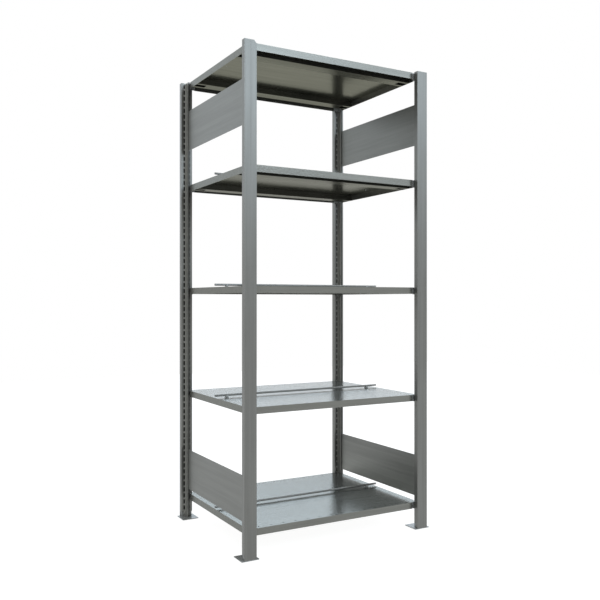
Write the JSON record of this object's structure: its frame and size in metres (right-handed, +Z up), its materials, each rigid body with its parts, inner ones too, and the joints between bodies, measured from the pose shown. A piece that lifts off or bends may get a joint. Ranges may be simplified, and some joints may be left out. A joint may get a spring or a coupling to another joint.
{
  "type": "double sided library shelving",
  "caption": "Free-standing bay of galvanised boltless shelving, open front and back, with slotted T posts, lift-off shelves, side panels and a stop rod along the middle of each lower shelf.",
  "frame": {"origin": "on the floor, at the middle of the bay in width and depth", "axes": "+Z up, +X to the right seen from the front, +Y from the front to the rear"},
  "size_m": [0.817, 0.632, 1.8033],
  "materials": {
    "post_steel": "galvanised sheet",
    "foot_steel": "galvanised plate",
    "panel_steel": "galvanised sheet",
    "shelf_steel": "bright galvanised sheet",
    "stiffener_steel": "galvanised sheet",
    "clip_steel": "zinc plated",
    "rod_steel": "zinc plated",
    "support_steel": "zinc plated"
  },
  "bodies": {
    "frame": {"post_front_left": "post_steel", "foot_front_left": "foot_steel", "post_front_right": "post_steel", "foot_front_right": "foot_steel", "post_rear_left": "post_steel", "foot_rear_left": "foot_steel", "post_rear_right": "post_steel", "foot_rear_right": "foot_steel", "side_panel_left_upper": "panel_steel", "side_panel_left_lower": "panel_steel", "side_panel_right_upper": "panel_steel", "side_panel_right_lower": "panel_steel", "shelf_1_clip_front_left": "clip_steel", "shelf_1_clip_front_right": "clip_steel", "shelf_1_clip_rear_left": "clip_steel", "shelf_1_clip_rear_right": "clip_steel", "shelf_2_clip_front_left": "clip_steel", "shelf_2_clip_front_right": "clip_steel", "shelf_2_clip_rear_left": "clip_steel", "shelf_2_clip_rear_right": "clip_steel", "shelf_3_clip_front_left": "clip_steel", "shelf_3_clip_front_right": "clip_steel", "shelf_3_clip_rear_left": "clip_steel", "shelf_3_clip_rear_right": "clip_steel", "shelf_4_clip_front_left": "clip_steel", "shelf_4_clip_front_right": "clip_steel", "shelf_4_clip_rear_left": "clip_steel", "shelf_4_clip_rear_right": "clip_steel", "shelf_5_clip_front_left": "clip_steel", "shelf_5_clip_front_right": "clip_steel", "shelf_5_clip_rear_left": "clip_steel", "shelf_5_clip_rear_right": "clip_steel"},
    "shelf_1_unit": {"shelf_1": "shelf_steel", "shelf_1_stiffener_front": "stiffener_steel", "shelf_1_stiffener_rear": "stiffener_steel"},
    "shelf_2_unit": {"shelf_2": "shelf_steel", "shelf_2_stiffener_front": "stiffener_steel", "shelf_2_stiffener_rear": "stiffener_steel"},
    "stop_2_unit": {"stop_2_rod": "rod_steel", "stop_2_support_left": "support_steel", "stop_2_support_right": "support_steel"},
    "shelf_3_unit": {"shelf_3": "shelf_steel", "shelf_3_stiffener_front": "stiffener_steel", "shelf_3_stiffener_rear": "stiffener_steel"},
    "stop_3_unit": {"stop_3_rod": "rod_steel", "stop_3_support_left": "support_steel", "stop_3_support_right": "support_steel"},
    "shelf_4_unit": {"shelf_4": "shelf_steel", "shelf_4_stiffener_front": "stiffener_steel", "shelf_4_stiffener_rear": "stiffener_steel"},
    "stop_4_unit": {"stop_4_rod": "rod_steel", "stop_4_support_left": "support_steel", "stop_4_support_right": "support_steel"},
    "shelf_5_unit": {"shelf_5": "shelf_steel", "shelf_5_stiffener_front": "stiffener_steel", "shelf_5_stiffener_rear": "stiffener_steel"},
    "stop_5_unit": {"stop_5_rod": "rod_steel", "stop_5_support_left": "support_steel", "stop_5_support_right": "support_steel"}
  },
  "joints": [
    {"name": "shelf_1_lift", "type": "slide", "parent": "frame", "child": "shelf_1_unit", "axis": [0, 0, 1], "range_m": [0, 0.34]},
    {"name": "shelf_2_lift", "type": "slide", "parent": "frame", "child": "shelf_2_unit", "axis": [0, 0, 1], "range_m": [0, 0.34]},
    {"name": "stop_2_lift", "type": "slide", "parent": "shelf_2_unit", "child": "stop_2_unit", "axis": [0, 0, 1], "range_m": [0, 0.03]},
    {"name": "shelf_3_lift", "type": "slide", "parent": "frame", "child": "shelf_3_unit", "axis": [0, 0, 1], "range_m": [0, 0.34]},
    {"name": "stop_3_lift", "type": "slide", "parent": "shelf_3_unit", "child": "stop_3_unit", "axis": [0, 0, 1], "range_m": [0, 0.03]},
    {"name": "shelf_4_lift", "type": "slide", "parent": "frame", "child": "shelf_4_unit", "axis": [0, 0, 1], "range_m": [0, 0.34]},
    {"name": "stop_4_lift", "type": "slide", "parent": "shelf_4_unit", "child": "stop_4_unit", "axis": [0, 0, 1], "range_m": [0, 0.03]},
    {"name": "shelf_5_lift", "type": "slide", "parent": "frame", "child": "shelf_5_unit", "axis": [0, 0, 1], "range_m": [0, 0.34]},
    {"name": "stop_5_lift", "type": "slide", "parent": "shelf_5_unit", "child": "stop_5_unit", "axis": [0, 0, 1], "range_m": [0, 0.03]}
  ]
}
